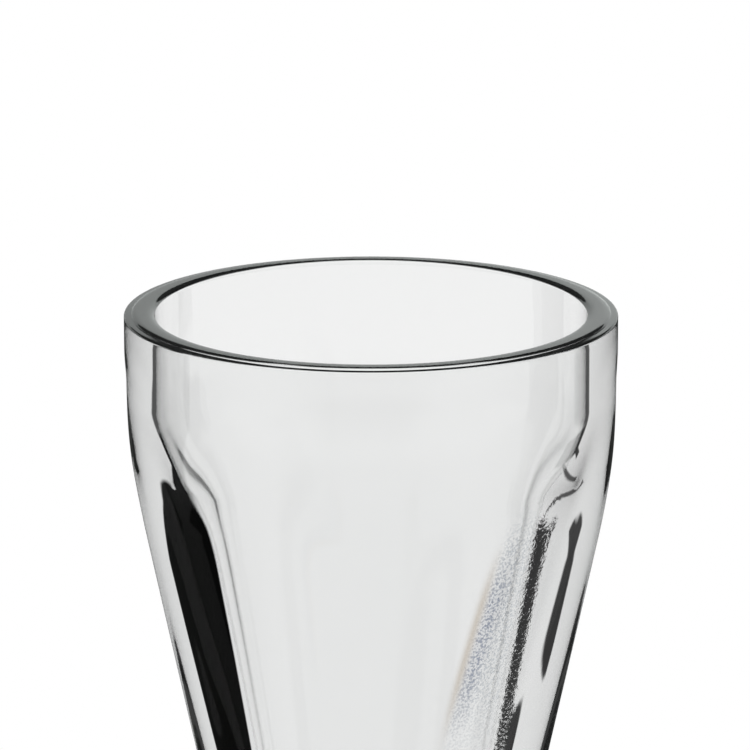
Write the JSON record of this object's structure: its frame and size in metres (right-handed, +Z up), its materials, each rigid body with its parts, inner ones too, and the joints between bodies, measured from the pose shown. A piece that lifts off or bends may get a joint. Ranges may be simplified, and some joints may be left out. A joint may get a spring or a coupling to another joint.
{
  "type": "milkshake glass",
  "caption": "Footed milkshake glass in thick clear pressed glass: a beaded rim over a tapered bowl with flat panels, a ring knop and a round foot.",
  "frame": {"origin": "middle of the foot, on the table the glass stands on", "axes": "+Z up along the glass's axis, -Y towards the camera of the picture, so a ridge between panels faces -Y and a panel faces +X"},
  "size_m": [0.086, 0.086, 0.186],
  "materials": {
    "glass": "gloss"
  },
  "bodies": {
    "root": {"bowl": "glass", "knop": "glass", "foot": "glass"}
  },
  "joints": []
}
